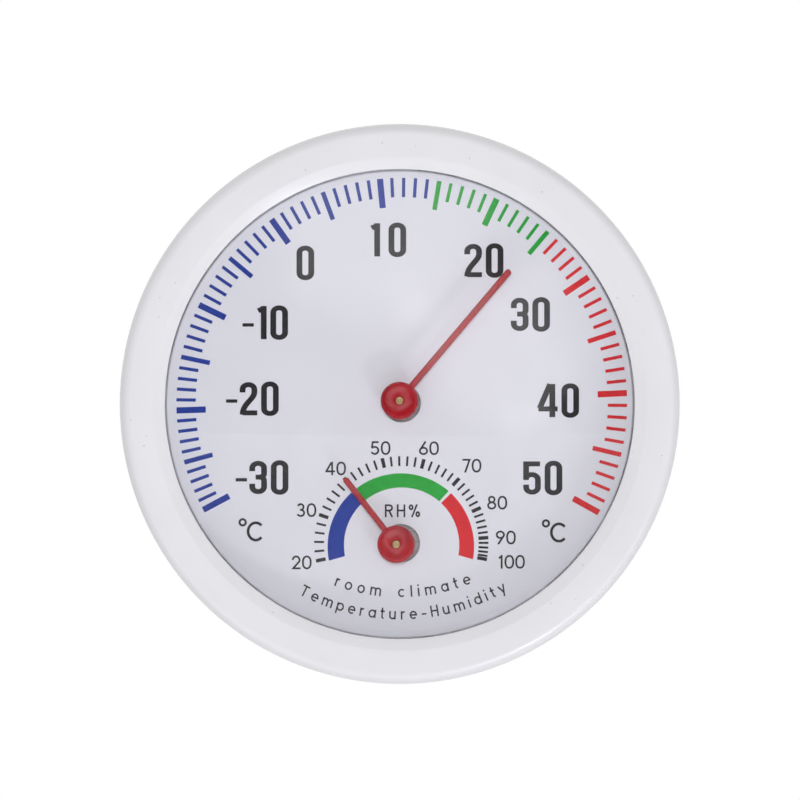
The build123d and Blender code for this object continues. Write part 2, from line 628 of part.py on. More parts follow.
def all_nodes():
    """Every piece of the dial by its node name."""
    nodes = {
        "bezel_ring": bezel_ring(),
        "lens": lens(),
        "dial_plate": dial_plate(),
        "case_ring": case_ring(),
        "back_cover": back_cover(),
        "cover_screws": cover_screws(),
        "thermo_bracket": bracket(THERMO, BUSH_RADIUS, with_anchor=True),
        "thermo_rear_bush": thermo_rear_bush(),
        "hygro_bracket": bracket(HYGRO, BUSH_RADIUS + RUNNING_CLEARANCE, with_anchor=False),
        "hygro_adjuster": hygro_adjuster(),
        "hygro_adjuster_arm": hygro_adjuster_arm(),
    }
    for movement in MOVEMENTS:
        nodes[movement.name + "_front_bush"] = front_bush(movement)
        nodes[movement.name + "_screws"] = screws(movement)
        nodes[movement.name + "_coil"] = coil(movement)
        nodes[movement.name + "_coil_rivet"] = coil_rivet(movement)
        nodes[movement.name + "_spindle"] = spindle(movement)
        nodes[movement.name + "_collar"] = collar(movement)
        nodes[movement.name + "_pointer"] = pointer(movement)
    return nodes


def main():
    os.makedirs("parts", exist_ok=True)
    for name, part in all_nodes().items():
        standing = Plane.XZ.location * part
        export_step(standing, os.path.join("parts", name + ".step"))


main()
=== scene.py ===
import math

import bmesh
import bpy
from mathutils import Matrix, Vector
from mathutils.geometry import delaunay_2d_cdt
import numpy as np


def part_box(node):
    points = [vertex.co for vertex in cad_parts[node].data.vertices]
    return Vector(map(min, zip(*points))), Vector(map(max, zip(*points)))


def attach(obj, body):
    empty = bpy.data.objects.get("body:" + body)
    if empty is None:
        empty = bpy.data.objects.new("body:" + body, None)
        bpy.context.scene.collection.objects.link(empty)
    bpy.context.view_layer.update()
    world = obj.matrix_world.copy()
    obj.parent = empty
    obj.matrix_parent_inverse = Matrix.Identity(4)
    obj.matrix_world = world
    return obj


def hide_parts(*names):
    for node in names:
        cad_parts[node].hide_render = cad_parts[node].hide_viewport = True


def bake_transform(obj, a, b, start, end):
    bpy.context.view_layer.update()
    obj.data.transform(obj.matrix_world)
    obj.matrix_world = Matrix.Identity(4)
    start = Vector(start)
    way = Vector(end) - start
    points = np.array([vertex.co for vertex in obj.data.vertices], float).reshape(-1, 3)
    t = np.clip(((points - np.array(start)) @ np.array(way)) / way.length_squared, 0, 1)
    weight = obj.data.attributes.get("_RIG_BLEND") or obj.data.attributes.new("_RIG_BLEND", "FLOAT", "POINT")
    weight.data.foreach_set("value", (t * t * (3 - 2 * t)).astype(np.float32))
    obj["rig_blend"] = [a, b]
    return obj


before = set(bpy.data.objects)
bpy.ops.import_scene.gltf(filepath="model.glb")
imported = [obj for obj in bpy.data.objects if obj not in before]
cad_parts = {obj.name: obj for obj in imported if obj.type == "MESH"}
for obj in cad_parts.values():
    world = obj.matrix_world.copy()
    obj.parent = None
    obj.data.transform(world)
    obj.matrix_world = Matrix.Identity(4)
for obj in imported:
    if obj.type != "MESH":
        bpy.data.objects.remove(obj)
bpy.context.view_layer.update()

# The looks of a round wall dial with a thermometer and a hygrometer. Sizes are in millimetres and
# drawn as one reads the dial: x to the right, y up and depth from the wall towards the reader.
# stand() turns them into the frame's metres. Angles are in degrees, counter-clockwise from x.

MM = 0.001
SEGMENTS = 256
SHARP_ABOVE = 40.0
POINTER_SHARP_ABOVE = 30.0


def stand(x, y, depth):
    """A point of the drawing, in the frame."""
    return Vector((x * MM, -depth * MM, y * MM))


def span(node):
    """The lowest and the highest x, y and depth of a CAD node, in millimetres."""
    low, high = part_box(node)
    return (low.x / MM, low.z / MM, -high.y / MM), (high.x / MM, high.z / MM, -low.y / MM)


def depths(node):
    """How far a CAD node's back and front stand from the wall."""
    low, high = span(node)
    return low[2], high[2]


def spindle_axis(movement):
    """Where a movement's spindle stands on the dial."""
    low, high = span(movement + "_spindle")
    return ((low[0] + high[0]) / 2, (low[1] + high[1]) / 2)


# ---- sizes and places

# From the frame
CASE_RADIUS = span("bezel_ring")[1][0]
BEZEL_FOOT, BEZEL_FRONT = depths("bezel_ring")
LENS_TOP = depths("lens")[1]
LENS_FLANGE_RADIUS = span("lens")[1][0]
DIAL_BACK, DIAL_FRONT = depths("dial_plate")
DIAL_RADIUS = span("dial_plate")[1][0]
AXIS = {movement: spindle_axis(movement) for movement in ("thermo", "hygro")}
HUB_BACK, HUB_FRONT = depths("thermo_pointer")

# Bezel section
BEZEL_INNER_RADIUS = 34.0
BEZEL_SHOULDER_RADIUS = 35.04
BEZEL_ROUND_DEPTH = 2.4
BEZEL_BEVEL_RADIUS = 32.12
BEZEL_BEVEL_TOP = 16.45
BEZEL_OPENING_RADIUS = 30.6
BEZEL_BEVEL_FOOT = 15.7
BEZEL_BEVEL_ROUND = 0.9
BEZEL_LIP_ROUND = 0.12
BEZEL_CROWN_RISE = 0.06
BEZEL_LEAN = 0.02
BEZEL_SEAT = 14.9
BEZEL_FOOT_ROUND = 0.3
BEZEL_GROOVE = (9.1, 9.9)
BEZEL_GROOVE_DEPTH = 0.3
BEZEL_GROOVE_SLOPE = 0.4

# Lens section
LENS_THICKNESS = 1.6
LENS_DOME_RADIUS = 30.3
LENS_DOME_FOOT = 15.2
LENS_FLANGE = (13.05, 14.85)
LENS_SKIRT = (31.0, 32.3)

# Dial plate
THERMO_SCALE_CENTRE = (0.26, 0.10)
HYGRO_SCALE_CENTRE = (0.20, -18.10)
DIAL_HOLES = [THERMO_SCALE_CENTRE, (0.14, -18.10)]
DIAL_HOLE_RADIUS = 2.5
DIAL_NOTCH = (2.4, 0.7)

# Pointers: a needle's length, width and direction at rest, and its section as (inset, depth)
HUB_RADIUS = 2.45
HUB_ROUNDS = (0.1, 0.5, 0.04)
NEEDLE = {"thermo": (22.2, 0.86, 49.7), "hygro": (10.9, 0.81, 128.0)}
NEEDLE_ROOT = 1.25
NEEDLE_SECTION = [(0.05, 12.75), (0, 12.81), (0, 13.21), (0.07, 13.37), (0.2, 13.45)]

# Spindles: the pin, its chamfer, the round of its tip and the radius and depth of its centre mark
SPINDLE_RADIUS = 0.5
SPINDLE_CHAMFER = 0.1
SPINDLE_TIP_ROUND = 0.18
SPINDLE_MARK = (0.12, 0.08)

# Coils: inner radius, outer radius, turns and strip thickness
COIL = {"thermo": (2.1, 8.9, 5, 0.25), "hygro": (2.1, 6.4, 4, 0.20)}
COIL_ROOT = 0.75
COIL_BEND = 0.4
COIL_TAIL = 1.9
COIL_EDGE = 0.03

# Print: how far the ink stands on the dial, and how far it runs into it
INK_HEIGHT = 0.02
INK_ROOT = 0.02

# Scales: the ticks' radii and widths, for every 1, 5 and 10 degrees and every 2 and 10 percent
THERMO_TICK_OUTER = 29.28
THERMO_TICK_INNER = {1: 26.77, 5: 25.48, 10: 25.48}
THERMO_TICK_WIDTH = {1: 0.42, 5: 0.60, 10: 0.80}
THERMO_COLOUR_LIMITS = {"blue": (-30, 14), "green": (15, 25), "red": (26, 50)}
HYGRO_TICK_OUTER = 11.32
HYGRO_TICK_INNER = {2: 10.05, 10: 10.05}
HYGRO_TICK_WIDTH = {2: 0.27, 10: 0.46}
BAND_OUTER = ((0.14, -18.54), 9.52)
BAND_INNER = ((0.24, -18.34), 7.49)
BAND_LIMITS = {"blue": (130.0, 191.0), "green": (49.3, 129.6), "red": (-10.0, 46.8)}

# The dome as a ball
DOME_RISE = LENS_TOP - LENS_DOME_FOOT
DOME_BALL = (LENS_DOME_RADIUS ** 2 + DOME_RISE ** 2) / (2 * DOME_RISE)

# The room: how bright it is as a light in front and behind, and how bright where gloss mirrors it.
# A cone is given by its edge and middle angles. A card is (x, y, edge, middle, strength): the spot
# where the dome shows its image, and its cone.
TOWARDS_READER = (0, -1, 0)
FLOOR_HALF = 5.0
FLOOR_DEPTH = -0.45
FLOOR_GLOW = 0.36
ROOM_FRONT = 0.38
ROOM_REAR = 0.72
ROOM_FRONT_CONE = (100, 66)
ROOM_COLOUR = (1.0, 0.985, 0.99)
ROOM_WAVER = 0.10
ROOM_WAVER_SCALE = 3.0
MIRROR_FRONT = 0.04
MIRROR_SIDE = 1.0
MIRROR_CONE = (50, 31)
MIRROR_CARDS = [
    (-2, 26, 22, 6, 0.85), (12, 9, 17, 4, 0.9), (-6, -5, 7, 3, 0.3), (20, -9, 9, 4, 0.35)]

# A small bright lamp in the room that only what lies under the lens mirrors, placed like a card
SMALL_LAMP = (-0.75, 1.2, 2.7, 1.9, 2.6)

# Lettering: pens in parts of a letter's height, labels by their middles, MINUS as (length, thickness,
# gap, rise), the degree ring as (x, y, radius) from its C, and WORDS as (text, radius, height, gap)
BOLD_HEIGHT = 4.31
BOLD_PEN = 0.148
BOLD_STRETCH = 1.18
BOLD_GAP = 0.50
BOLD_WIDE_GAPS = {10: 1.12}
MINUS = (1.47, 0.44, 0.30, -0.30)
THIN_PEN = 0.135
THERMO_LABELS = {
    -30: (-17.01, -9.55), -20: (-18.27, 0.68), -10: (-16.60, 10.57), 0: (-12.27, 18.33), 10: (-1.55, 21.33),
    20: (10.93, 18.64), 30: (16.98, 11.64), 40: (20.66, 0.44), 50: (18.58, -9.62)}
HYGRO_LABELS = {
    20: (-12.76, -20.59), 30: (-12.16, -13.79), 40: (-8.34, -8.38), 50: (-2.52, -5.73), 60: (3.78, -5.75),
    70: (9.35, -8.02), 80: (12.65, -12.83), 90: (13.77, -17.35), 100: (14.48, -20.51)}
HYGRO_LABEL_HEIGHT = 1.77
HYGRO_LABEL_GAP = 0.09
UNIT_HEIGHT = 1.67
UNIT_GAP = 0.27
UNIT_CENTRE = (0.35, -13.88)
CELSIUS_CENTRES = [(-18.79, -16.56), (20.61, -16.70)]
CELSIUS_HEIGHT = 2.6
CELSIUS_RING = (-1.62, 1.18, 0.40)
CELSIUS_RING_PEN = 0.8 * THIN_PEN * CELSIUS_HEIGHT
WORDS = [("room climate", 25.1, 1.51, 0.76), ("Temperature-Humidity", 28.0, 1.50, 0.61)]
WORDS_SHIFT = 1.0

# The view: how far the camera stands off, how wide it sees and what it is centred on
VIEW_DISTANCE = 1500
VIEW_WIDTH = 104.28
VIEW_CENTRE = (0.03, 0.52)
SENSOR_WIDTH = 36


# ---- outlines

def arc(centre, radii, start, end, steps=12):
    """Points along an elliptical arc."""
    angles = [math.radians(start + (end - start) * step / steps) for step in range(steps + 1)]
    return [(centre[0] + radii[0] * math.cos(a), centre[1] + radii[1] * math.sin(a)) for a in angles]


def circle(centre, radius, steps=96):
    """A full circle, without its first point again."""
    return arc(centre, (radius, radius), 0, 360, steps)[:-1]


def oval(centre, radii, squareness=2.0, steps=40):
    """A closed curve between an ellipse and a rounded rectangle."""
    points = []
    for step in range(steps):
        angle = 2 * math.pi * step / steps
        c, s = math.cos(angle), math.sin(angle)
        x = math.copysign(abs(c) ** (2 / squareness), c)
        y = math.copysign(abs(s) ** (2 / squareness), s)
        points.append((centre[0] + radii[0] * x, centre[1] + radii[1] * y))
    return points


def bend(start, control_a, control_b, end, steps=10):
    """Points along a cubic curve."""
    points = []
    for step in range(steps + 1):
        t = step / steps
        weights = ((1 - t) ** 3, 3 * t * (1 - t) ** 2, 3 * t * t * (1 - t), t ** 3)
        points.append(tuple(sum(w * p[i] for w, p in zip(weights, (start, control_a, control_b, end)))
                            for i in (0, 1)))
    return points


def soften(corners, steps=6):
    """A closed outline whose corners, given as (x, y, radius), are rounded."""
    points = []
    count = len(corners)
    for index, (x, y, radius) in enumerate(corners):
        here = Vector((x, y))
        back = Vector(corners[index - 1][:2]) - here
        ahead = Vector(corners[(index + 1) % count][:2]) - here
        if radius <= 0:
            points.append((x, y))
            continue
        half = back.angle(ahead) / 2
        reach = min(radius / math.tan(half), 0.49 * back.length, 0.49 * ahead.length)
        start = here + back.normalized() * reach
        end = here + ahead.normalized() * reach
        for step in range(steps + 1):
            t = step / steps
            way = start.lerp(here, t).lerp(here.lerp(end, t), t)
            points.append((way.x, way.y))
    return points


def stroke(path, width, closed=False):
    """The four-cornered patches of a pen stroke of one width, mitred where the path turns."""
    points = [Vector(p) for p in path]
    count = len(points)
    sides = []
    for index, point in enumerate(points):
        before = points[index - 1] if closed or index > 0 else None
        after = points[(index + 1) % count] if closed or index < count - 1 else None
        ways = [(b - a).normalized() for a, b in ((before, point), (point, after)) if a and b]
        normals = [Vector((-way.y, way.x)) for way in ways]
        middle = sum(normals, Vector((0, 0))).normalized()
        reach = width / 2 / max(0.35, middle.dot(normals[0]))
        sides.append((point + middle * reach, point - middle * reach))
    last = count if closed else count - 1
    patches = []
    for index in range(last):
        (left, right), (next_left, next_right) = sides[index], sides[(index + 1) % count]
        patches.append([tuple(left), tuple(right), tuple(next_right), tuple(next_left)])
    return patches


# ---- letters

# Each letter is its width and its pen paths, for a capital one unit high. A path is its points and
# whether it is closed. The pen's middle stays half a pen inside the letter's outline.

TOP = 1 - THIN_PEN / 2
LOW = THIN_PEN / 2
X_HEIGHT = 0.72
X_TOP = X_HEIGHT - THIN_PEN / 2
BOWL = ((0.32, X_HEIGHT / 2), (0.255, X_HEIGHT / 2 - LOW))


def line(*points):
    """An open path through points."""
    return list(points), False


def ring(centre, radii, squareness=2.0):
    """A closed round path."""
    return oval(centre, radii, squareness), True


def curve(centre, radii, start, end, before=(), after=()):
    """An open path that bends round a centre, with straight stretches before and after."""
    return list(before) + arc(centre, radii, start, end, 16) + list(after), False


THIN = {
    "0": (0.70, [ring((0.35, 0.5), (0.285, 0.435), 2.3)]),
    "1": (0.42, [line((0.10, 0.76), (0.29, TOP - 0.03)), line((0.30, 1), (0.30, 0))]),
    "2": (0.68, [curve((0.335, 0.675), (0.25, 0.26), 180, -28, after=[(0.12, LOW), (0.66, LOW)])]),
    "3": (0.68, [curve((0.33, 0.725), (0.205, 0.21), 158, -90, after=[(0.27, 0.515)]),
                 curve((0.33, 0.29), (0.255, 0.225), 90, -158, before=[(0.27, 0.515)])]),
    "4": (0.72, [line((0.44, TOP), (0.07, 0.285)), line((0.01, 0.285), (0.71, 0.285)),
                 line((0.50, 1), (0.50, 0))]),
    "5": (0.68, [line((0.60, TOP), (0.17, TOP), (0.11, 0.49)),
                 curve((0.32, 0.325), (0.265, 0.26), 140, -155)]),
    "6": (0.68, [ring((0.34, 0.30), (0.265, 0.235)), line((0.50, 1), (0.105, 0.39))]),
    "7": (0.62, [line((0.03, TOP), (0.55, TOP), (0.22, 0))]),
    "8": (0.68, [ring((0.34, 0.735), (0.205, 0.20)), ring((0.34, 0.295), (0.265, 0.23))]),
    "9": (0.68, [ring((0.34, 0.70), (0.265, 0.235)), line((0.575, 0.61), (0.18, 0))]),
    "%": (0.88, [ring((0.18, 0.77), (0.115, 0.165)), ring((0.70, 0.23), (0.115, 0.165)),
                 line((0.64, 1), (0.24, 0))]),
    "R": (0.66, [curve((0.35, 0.725), (0.21, 0.21), 90, -90, before=[(0.07, TOP)], after=[(0.07, 0.515)]),
                 line((0.07, 1), (0.07, 0)), line((0.33, 0.515), (0.58, 0))]),
    "H": (0.66, [line((0.07, 1), (0.07, 0)), line((0.59, 1), (0.59, 0)), line((0.07, 0.52), (0.59, 0.52))]),
    "C": (0.84, [curve((0.45, 0.5), (0.385, 0.435), 42, 318)]),
    "T": (0.64, [line((0, TOP), (0.64, TOP)), line((0.32, TOP), (0.32, 0))]),
    "-": (0.44, [line((0.02, 0.36), (0.42, 0.36))]),
    "a": (0.64, [ring(*BOWL), line((0.575, X_HEIGHT), (0.575, 0))]),
    "c": (0.60, [curve(*BOWL, 48, 312)]),
    "d": (0.64, [ring(*BOWL), line((0.575, 1), (0.575, 0))]),
    "e": (0.64, [curve(*BOWL, 0, 312, before=[(0.065, X_HEIGHT / 2)])]),
    "i": (0.14, [line((0.07, X_HEIGHT), (0.07, 0)), line((0.07, 0.88), (0.07, 1.02))]),
    "l": (0.14, [line((0.07, 1), (0.07, 0))]),
    "m": (0.94, [line((0.07, X_HEIGHT), (0.07, 0)),
                 curve((0.27, 0.46), (0.20, X_TOP - 0.46), 180, 0, after=[(0.47, 0)]),
                 curve((0.67, 0.46), (0.20, X_TOP - 0.46), 180, 0, after=[(0.87, 0)])]),
    "o": (0.64, [ring(*BOWL)]),
    "p": (0.64, [ring(*BOWL), line((0.065, X_HEIGHT), (0.065, -0.28))]),
    "r": (0.38, [line((0.07, X_HEIGHT), (0.07, 0)), curve((0.29, 0.43), (0.22, X_TOP - 0.43), 180, 78)]),
    "t": (0.38, [curve((0.30, 0.21), (0.14, 0.21 - LOW), 180, 275, before=[(0.16, 0.96)]),
                 line((0.0, X_TOP), (0.37, X_TOP))]),
    "u": (0.62, [curve((0.29, 0.28), (0.22, 0.28 - LOW), 180, 360, before=[(0.07, X_HEIGHT)],
                       after=[(0.51, X_HEIGHT)]), line((0.51, 0.30), (0.51, 0))]),
    "y": (0.60, [line((0.04, X_HEIGHT), (0.30, 0.03)), line((0.56, X_HEIGHT), (0.18, -0.28))]),
}

# The bold figures: their width, the pen's path along each side and the top, and its corners' radius
BOLD_WIDTH = 0.45
EDGE = BOLD_PEN / 2
FAR = BOLD_WIDTH - EDGE
CROWN = 1 - EDGE
CORNER = 0.145


def bold_corner(x, y, start, end, radius=CORNER):
    """A rounded corner of a bold digit, about its own centre."""
    return arc((x, y), (radius, radius), start, end, 8)


BOLD_ZERO = (bold_corner(FAR - CORNER, CROWN - CORNER + 0.02, 0, 90)
             + bold_corner(EDGE + CORNER, CROWN - CORNER + 0.02, 90, 180)
             + bold_corner(EDGE + CORNER, EDGE + CORNER - 0.02, 180, 270)
             + bold_corner(FAR - CORNER, EDGE + CORNER - 0.02, 270, 360))
BOLD_CAP = (bold_corner(EDGE + CORNER, CROWN - CORNER, 180, 90)
            + bold_corner(FAR - CORNER, CROWN - CORNER, 90, 0))
BOLD_BASE = (bold_corner(FAR - CORNER, EDGE + CORNER, 0, -90)
             + bold_corner(EDGE + CORNER, EDGE + CORNER, -90, -180))
BOLD_BEND = bend((FAR, 0.70), (FAR, 0.48), (EDGE, 0.36), (EDGE, 0.02))
BOLD = {
    "0": (BOLD_WIDTH, [(BOLD_ZERO, True)]),
    "1": (0.265, [line((0.195, 1), (0.195, 0)), line((0.15, 0.905), (0.05, 0.855))]),
    "2": (BOLD_WIDTH, [line((EDGE, 0.69), *BOLD_CAP, *BOLD_BEND), line((EDGE, EDGE), (BOLD_WIDTH, EDGE))]),
    "3": (BOLD_WIDTH, [line((EDGE, 0.69), *BOLD_CAP, *bold_corner(FAR - 0.11, 0.62, 0, -90, 0.11),
                            (0.16, 0.51)),
                       line((0.16, 0.51), *bold_corner(FAR - 0.11, 0.40, 90, 0, 0.11), *BOLD_BASE,
                            (EDGE, 0.31))]),
    "4": (0.49, [line((0.355, 1), (0.355, 0)), line((0.30, 1.0), (0.035, 0.27)),
                 line((0, 0.25), (0.49, 0.25))]),
    "5": (BOLD_WIDTH, [line((0.43, CROWN), (EDGE, CROWN), (EDGE, 0.44)),
                       line((EDGE, 0.50), *bold_corner(EDGE + 0.13, 0.47, 150, 90, 0.13),
                            *bold_corner(FAR - CORNER, 0.60 - CORNER, 90, 0), *BOLD_BASE, (EDGE, 0.30))]),
}


def text_width(text, letters, gap):
    """The width of a line of text for a capital one unit high. A space takes up two gaps."""
    widths = sum(letters[letter][0] for letter in text if letter != " ")
    return widths + gap * (len(text) - 1 + text.count(" "))


def set_line(text, letters, pen, gap, place):
    """A centred line of text: a group of patches for each letter, whose points place() puts in place."""
    way = -text_width(text, letters, gap) / 2
    groups = []
    for letter in text:
        if letter == " ":
            way += 2 * gap
            continue
        width, paths = letters[letter]
        groups.append([[place(way, width, u, v) for u, v in patch]
                       for path, closed in paths for patch in stroke(path, pen, closed)])
        way += width + gap
    return groups


def upright(text, letters, pen, height, gap, centre, stretch=1.0):
    """A level line of text about a centre, stretched sideways."""
    def place(way, width, u, v):
        return centre[0] + (way + u) * height * stretch, centre[1] + (v - 0.5) * height
    return set_line(text, letters, pen, gap, place)


def along_arc(text, letters, pen, height, gap, radius, shift):
    """A line of text round the bottom of the dial, its top inwards, turned on by an angle."""
    def place(way, width, u, v):
        turn = (way + width / 2) * height / radius + math.radians(shift)
        c, s = math.cos(turn), math.sin(turn)
        x, y = (u - width / 2) * height, v * height - radius
        return x * c - y * s, x * s + y * c
    return set_line(text, letters, pen, gap / height, place)


# ---- meshes

def new_piece(name, shape):
    """An object from a bmesh, smooth except where its faces meet at a sharp angle."""
    bmesh.ops.recalc_face_normals(shape, faces=shape.faces)
    mesh = bpy.data.meshes.new(name)
    shape.to_mesh(mesh)
    shape.free()
    for face in mesh.polygons:
        face.use_smooth = True
    mesh.set_sharp_from_angle(angle=math.radians(SHARP_ABOVE))
    piece = bpy.data.objects.new(name, mesh)
    bpy.context.scene.collection.objects.link(piece)
    return piece


def lathe_into(shape, outline, axis=(0, 0), segments=SEGMENTS):
    """Adds a turned solid: a closed outline of (radius, depth) about an axis that stands on the dial."""
    rings = []
    for radius, depth in outline:
        if radius < 1e-6:
            rings.append([shape.verts.new(stand(axis[0], axis[1], depth))])
            continue
        rings.append([shape.verts.new(stand(axis[0] + x, axis[1] + y, depth))
                      for x, y in circle((0, 0), radius, segments)])
    for index, here in enumerate(rings):
        there = rings[(index + 1) % len(rings)]
        if len(here) == 1 and len(there) == 1:
            continue
        for step in range(segments):
            after = (step + 1) % segments
            corners = [here[step % len(here)], here[after % len(here)],
                       there[after % len(there)], there[step % len(there)]]
            shape.faces.new(list(dict.fromkeys(corners)))


def lathe(name, outline, axis=(0, 0), segments=SEGMENTS):
    """A turned solid as a piece of its own."""
    shape = bmesh.new()
    lathe_into(shape, outline, axis, segments)
    return new_piece(name, shape)


def raise_patches(shape, patches, low, high):
    """Adds the union of flat patches, raised between two depths."""
    places = []
    faces = []
    for patch in patches:
        faces.append(list(range(len(places), len(places) + len(patch))))
        places += [Vector(point) for point in patch]
    verts, _, triangles, _, _, owners = delaunay_2d_cdt(places, [], faces, 1, 1e-5)
    triangles = [t for t, owner in zip(triangles, owners) if owner]
    used = sorted({corner for triangle in triangles for corner in triangle})
    top = {i: shape.verts.new(stand(verts[i].x, verts[i].y, high)) for i in used}
    foot = {i: shape.verts.new(stand(verts[i].x, verts[i].y, low)) for i in used}
    edges = {}
    for triangle in triangles:
        shape.faces.new([top[i] for i in triangle])
        shape.faces.new([foot[i] for i in reversed(triangle)])
        for a, b in zip(triangle, list(triangle[1:]) + [triangle[0]]):
            key = (min(a, b), max(a, b))
            edges[key] = None if key in edges else (a, b)
    for a, b in filter(None, edges.values()):
        shape.faces.new([top[b], top[a], foot[a], foot[b]])


def raised(name, groups, low, high):
    """A piece made of groups of flat patches."""
    shape = bmesh.new()
    for patches in groups:
        raise_patches(shape, patches, low, high)
    return new_piece(name, shape)


def ink(name, groups, colour):
    """A printed piece on the dial's front."""
    piece = raised("print_" + name, groups, DIAL_FRONT - INK_ROOT, DIAL_FRONT + INK_HEIGHT)
    piece.data.materials.append(colour)
    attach(piece, "case")


# ---- materials

class Nodes:
    """A tree of shader nodes under construction."""

    def __init__(self, tree):
        self.nodes = tree.nodes
        self.links = tree.links

    def feed(self, socket, value):
        """Links another node's output to a socket, or sets the socket to a value."""
        if isinstance(value, bpy.types.NodeSocket):
            self.links.new(value, socket)
        else:
            socket.default_value = (*value, 1) if socket.type == "RGBA" else value

    def add(self, kind, inputs, **settings):
        """The outputs of a new node, from its settings and what goes into its inputs."""
        node = self.nodes.new("ShaderNode" + kind)
        for name, value in settings.items():
            setattr(node, name, value)
        for name, value in inputs.items():
            self.feed(node.inputs[name], value)
        return node.outputs

    def calculate(self, operation, a, b):
        """The sum, product, difference or comparison of two numbers."""
        return self.add("Math", {0: a, 1: b}, operation=operation)["Value"]

    def vector(self, operation, *inputs):
        """The outputs of a calculation with vectors."""
        return self.add("VectorMath", dict(enumerate(inputs)), operation=operation)

    def ramp(self, value, low, high, out_low=0.0, out_high=1.0):
        """A value stretched from one range to another and held at its ends."""
        ends = {"From Min": low, "From Max": high, "To Min": out_low, "To Max": out_high}
        return self.add("MapRange", {"Value": value, **ends}, interpolation_type="SMOOTHSTEP")["Result"]

    def mix(self, factor, first, second, kind="RGBA"):
        """A colour or a number between two others."""
        return self.add("Mix", {"Factor": factor, "A": first, "B": second}, data_type=kind)["Result"]


class Look(Nodes):
    """A material under construction: a Principled shader and the nodes that feed it."""

    def __init__(self, name, roughness=0.5, metallic=0.0, ior=1.5):
        self.material = bpy.data.materials.new(name)
        self.material.use_nodes = True
        super().__init__(self.material.node_tree)
        self.shader = self.nodes["Principled BSDF"]
        for name, value in (("Roughness", roughness), ("Metallic", metallic), ("IOR", ior)):
            self.set(name, value)
        self.place = self.add("TexCoord", {})["Object"]
        self.normal = None

    def set(self, name, value):
        """Sets or links one input of the shader."""
        self.feed(self.shader.inputs[name], value)

    def broken_edges(self, radius):
        """Sharp edges shaded as if broken by a small radius in millimetres."""
        self.normal = self.add("Bevel", {"Radius": radius * MM}, samples=4)["Normal"]
        self.set("Normal", self.normal)

    def stretched(self, scale):
        """The object's coordinates in millimetres, stretched along its axes."""
        return self.add("Mapping", {"Vector": self.place, "Scale": [s / MM for s in scale]})["Vector"]

    def noise(self, size, detail=3.0, roughness=0.55, stretch=(1, 1, 1)):
        """Cloudy values with spots of about a size in millimetres."""
        kind = {"Scale": 1 / size, "Detail": detail, "Roughness": roughness}
        return self.add("TexNoise", {"Vector": self.stretched(stretch), **kind})["Fac"]

    def specks(self, size, amount):
        """Small round spots, few and far between: 1 inside a spot and 0 elsewhere."""
        cells = self.add("TexVoronoi", {"Vector": self.stretched((1, 1, 1)), "Scale": 1 / size})
        return self.ramp(cells["Distance"], amount, 0.6 * amount)

    def rings(self, axis, pitch):
        """Fine turning marks round an axis that stands on the dial, with a pitch in millimetres."""
        from_axis = self.vector("MULTIPLY_ADD", self.place, (1, 0, 1), (-axis[0] * MM, 0, -axis[1] * MM))
        radius = self.vector("LENGTH", from_axis["Vector"])["Value"]
        outwards = self.add("CombineXYZ", {"X": radius})["Vector"]
        return self.add("TexNoise", {"Vector": outwards, "Scale": 1 / (pitch * MM), "Detail": 2.0})["Fac"]

    def colours(self, value, tint, shade):
        """The surface's colour, between two by a value."""
        self.set("Base Color", self.mix(value, tint, shade))

    def roughness(self, value, low, high):
        """The surface's roughness, between two by a value's middle range."""
        self.set("Roughness", self.ramp(value, 0.3, 0.7, low, high))

    def bump(self, height, depth):
        """Bumps of a depth in millimetres, on top of those set before."""
        below = {"Normal": self.normal} if self.normal else {}
        self.normal = self.add("Bump", {"Height": height, "Distance": depth * MM, **below})["Normal"]
        self.set("Normal", self.normal)


def moulded_white(name, tint, shade, roughness, grain):
    """White moulded plastic: faint clouding, flow marks, fine scuffs and a little dust."""
    look = Look(name, roughness, ior=1.49)
    look.broken_edges(0.12)
    clouds = look.ramp(look.noise(9.0, 2.0), 0.3, 0.7)
    look.colours(look.specks(2.3, 0.055), look.mix(clouds, tint, shade), (0.62, 0.60, 0.56))
    scuffs = look.noise(0.5, 6.0, 0.7, stretch=(1.0, 1.0, 0.35))
    look.roughness(scuffs, roughness - 0.015, roughness + 0.03)
    look.bump(look.noise(5.0, 1.0), 0.006)
    look.bump(look.noise(grain, 3.0), 0.0012)
    return look.material


def dial_coat():
    """The dial's white stove enamel: smooth, a little bluish, with a very fine orange peel."""
    look = Look("dial_white_coat", 0.42, ior=1.5)
    clouds = look.ramp(look.noise(11.0, 3.0), 0.3, 0.7)
    enamel = look.mix(clouds, (0.865, 0.868, 0.93), (0.845, 0.848, 0.912))
    look.colours(look.specks(1.7, 0.03), enamel, (0.45, 0.43, 0.42))
    look.roughness(look.noise(0.8, 4.0), 0.36, 0.48)
    look.bump(look.noise(0.35, 3.0), 0.002)
    return look.material


def screen_ink(name, tint, shade):
    """Screen-printed ink: slightly uneven cover with pinholes where the mesh held it back."""
    look = Look("ink_" + name, 0.5, ior=1.5)
    cover = look.ramp(look.noise(0.9, 4.0), 0.35, 0.65)
    paler = tuple(0.6 * part + 0.4 * 0.8 for part in tint)
    look.colours(look.specks(0.55, 0.06), look.mix(cover, tint, shade), paler)
    look.roughness(look.noise(0.3, 3.0), 0.42, 0.58)
    look.bump(look.noise(0.16, 2.0), 0.003)
    return look.material


def pointer_red():
    """The pointers' red: glossy moulded plastic with a soft bloom and fine rubbing marks."""
    look = Look("red_plastic_gloss", 0.10, ior=1.5)
    look.colours(look.ramp(look.noise(1.6, 4.0), 0.3, 0.7), (0.46, 0.006, 0.016), (0.36, 0.005, 0.013))
    look.roughness(look.noise(0.25, 5.0), 0.07, 0.14)
    look.bump(look.noise(0.9, 1.0), 0.001)
    look.bump(look.noise(0.09, 2.0), 0.0002)
    return look.material


